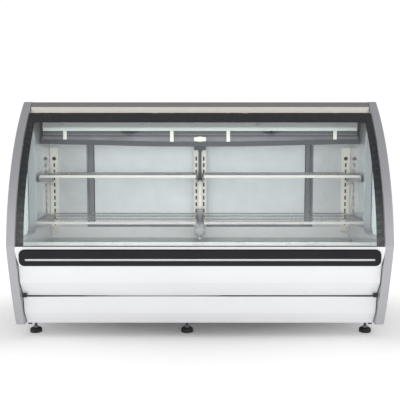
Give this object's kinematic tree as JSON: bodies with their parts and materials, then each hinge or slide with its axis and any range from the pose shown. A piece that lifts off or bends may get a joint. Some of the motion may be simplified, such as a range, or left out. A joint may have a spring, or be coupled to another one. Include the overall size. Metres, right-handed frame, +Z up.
{
  "type": "refrigerated deli case",
  "caption": "Refrigerated service case with a lifting curved front glass, wire shelves, sliding rear doors, a bumper, lapped front panels and levelling feet.",
  "frame": {"origin": "on the floor, under the middle of the case's box", "axes": "+X to the customer's right along the case, the front faces -Y, +Z up"},
  "size_m": [2, 1.1, 1.295],
  "materials": {
    "end_panel_paint": "satin metallic grey",
    "side_glass": "clear",
    "liner_white": "gloss",
    "tub_white": "semi-gloss",
    "deck_steel": "brushed",
    "rear_wall_white": "semi-gloss",
    "roof_steel": "brushed",
    "fascia_steel": "brushed",
    "front_glass": "clear",
    "border_black": "gloss",
    "clamp_aluminium": "anodised",
    "hinge_steel": "satin",
    "belt_white": "gloss",
    "seal_rubber": "matte",
    "bumper_black": "satin",
    "insert_silver": "satin",
    "front_panel_white": "gloss",
    "clip_black": "matte",
    "lamp_housing_grey": "satin",
    "lamp_white": "frosted",
    "evaporator_cover": "satin",
    "coil_aluminium": "satin",
    "motor_black": "satin",
    "fan_black": "satin",
    "pan_grey": "satin",
    "strap_white": "semi-gloss",
    "drain_grey": "satin",
    "door_frame_grey": "satin",
    "leaf_grey": "anodised",
    "pane_glass": "clear",
    "standard_cream": "semi-gloss",
    "bracket_grey": "semi-gloss",
    "shelf_wire": "bright",
    "price_rail_white": "gloss",
    "ledge_steel": "brushed",
    "rear_panel_grey": "satin",
    "control_plate": "satin",
    "knob_black": "satin",
    "switch_black": "gloss",
    "gland_black": "satin",
    "frame_galvanised": "galvanised",
    "compressor_black": "semi-gloss",
    "shroud_black": "satin",
    "copper": "bright",
    "tray_steel": "brushed",
    "foot_black": "satin"
  },
  "bodies": {
    "cabinet": {"left_end_panel": "end_panel_paint", "right_end_panel": "end_panel_paint", "side_glasses": "side_glass", "side_liners": "liner_white", "insulated_tub": "tub_white", "deck_pans": "deck_steel", "rear_wall_panels": "rear_wall_white", "roof": "roof_steel", "top_fascia": "fascia_steel", "glass_hinge_brackets": "hinge_steel", "front_belt": "belt_white", "glass_seal": "seal_rubber", "bumper_rail": "bumper_black", "bumper_insert": "insert_silver", "upper_front_panel": "front_panel_white", "lower_front_panel": "front_panel_white", "panel_end_clips": "clip_black", "lamp_housing": "lamp_housing_grey", "lamp_tube": "lamp_white", "evaporator_housing": "evaporator_cover", "evaporator_coil": "coil_aluminium", "fan_motors": "motor_black", "drip_pan": "pan_grey", "pan_hangers": "strap_white", "drain_line": "drain_grey", "door_frame": "door_frame_grey", "shelf_standards": "standard_cream", "shelf_brackets": "bracket_grey", "upper_shelves": "shelf_wire", "lower_shelves": "shelf_wire", "price_rails": "price_rail_white", "rear_ledge": "ledge_steel", "rear_panel": "rear_panel_grey", "control_panel": "control_plate", "cable_gland": "gland_black", "base_frame": "frame_galvanised", "compressor": "compressor_black", "condenser_coil": "coil_aluminium", "condenser_shroud": "shroud_black", "refrigerant_lines": "copper", "condensate_tray": "tray_steel"},
    "front_glass": {"front_glass": "front_glass", "glass_border": "border_black", "glass_top_profile": "clamp_aluminium"},
    "left_door": {"left_door_frame": "leaf_grey", "left_door_glass": "pane_glass"},
    "right_door": {"right_door_frame": "leaf_grey", "right_door_glass": "pane_glass"},
    "left_evaporator_fan": {"left_evaporator_fan": "fan_black"},
    "right_evaporator_fan": {"right_evaporator_fan": "fan_black"},
    "condenser_fan": {"condenser_fan": "fan_black"},
    "thermostat_knob": {"thermostat_knob": "knob_black"},
    "power_switch": {"power_switch": "switch_black"},
    "light_switch": {"light_switch": "switch_black"},
    "foot_front_left": {"foot_front_left": "foot_black"},
    "foot_front_middle": {"foot_front_middle": "foot_black"},
    "foot_front_right": {"foot_front_right": "foot_black"},
    "foot_rear_left": {"foot_rear_left": "foot_black"},
    "foot_rear_middle": {"foot_rear_middle": "foot_black"},
    "foot_rear_right": {"foot_rear_right": "foot_black"}
  },
  "joints": [
    {"name": "glass_lift", "type": "hinge", "parent": "cabinet", "child": "front_glass", "pos_m": [0, -0.15, 1.21], "axis": [-1, 0, 0], "range_deg": [0, 45]},
    {"name": "left_door_slide", "type": "slide", "parent": "cabinet", "child": "left_door", "axis": [1, 0, 0], "range_m": [0, 0.64]},
    {"name": "right_door_slide", "type": "slide", "parent": "cabinet", "child": "right_door", "axis": [-1, 0, 0], "range_m": [0, 0.64]},
    {"name": "left_evaporator_fan_spin", "type": "hinge", "parent": "cabinet", "child": "left_evaporator_fan", "pos_m": [-0.42, 0.063, 1.172], "axis": [0, 1, 0], "continuous": true},
    {"name": "right_evaporator_fan_spin", "type": "hinge", "parent": "cabinet", "child": "right_evaporator_fan", "pos_m": [0.42, 0.063, 1.172], "axis": [0, 1, 0], "continuous": true},
    {"name": "condenser_fan_spin", "type": "hinge", "parent": "cabinet", "child": "condenser_fan", "pos_m": [0.65, 0.417, 0.245], "axis": [0, 1, 0], "continuous": true},
    {"name": "thermostat_turn", "type": "hinge", "parent": "cabinet", "child": "thermostat_knob", "pos_m": [0.68, 0.532, 0.425], "axis": [0, -1, 0], "range_deg": [0, 300]},
    {"name": "power_switch_rock", "type": "hinge", "parent": "cabinet", "child": "power_switch", "pos_m": [0.53, 0.519, 0.425], "axis": [1, 0, 0], "range_deg": [0, 16]},
    {"name": "light_switch_rock", "type": "hinge", "parent": "cabinet", "child": "light_switch", "pos_m": [0.58, 0.519, 0.425], "axis": [1, 0, 0], "range_deg": [0, 16]},
    {"name": "foot_front_left_turn", "type": "hinge", "parent": "cabinet", "child": "foot_front_left", "pos_m": [-0.926, -0.245, 0], "axis": [0, 0, 1], "continuous": true},
    {"name": "foot_front_middle_turn", "type": "hinge", "parent": "cabinet", "child": "foot_front_middle", "pos_m": [-0.073, -0.245, 0], "axis": [0, 0, 1], "continuous": true},
    {"name": "foot_front_right_turn", "type": "hinge", "parent": "cabinet", "child": "foot_front_right", "pos_m": [0.932, -0.245, 0], "axis": [0, 0, 1], "continuous": true},
    {"name": "foot_rear_left_turn", "type": "hinge", "parent": "cabinet", "child": "foot_rear_left", "pos_m": [-0.926, 0.442, 0], "axis": [0, 0, 1], "continuous": true},
    {"name": "foot_rear_middle_turn", "type": "hinge", "parent": "cabinet", "child": "foot_rear_middle", "pos_m": [-0.073, 0.442, 0], "axis": [0, 0, 1], "continuous": true},
    {"name": "foot_rear_right_turn", "type": "hinge", "parent": "cabinet", "child": "foot_rear_right", "pos_m": [0.932, 0.442, 0], "axis": [0, 0, 1], "continuous": true}
  ]
}
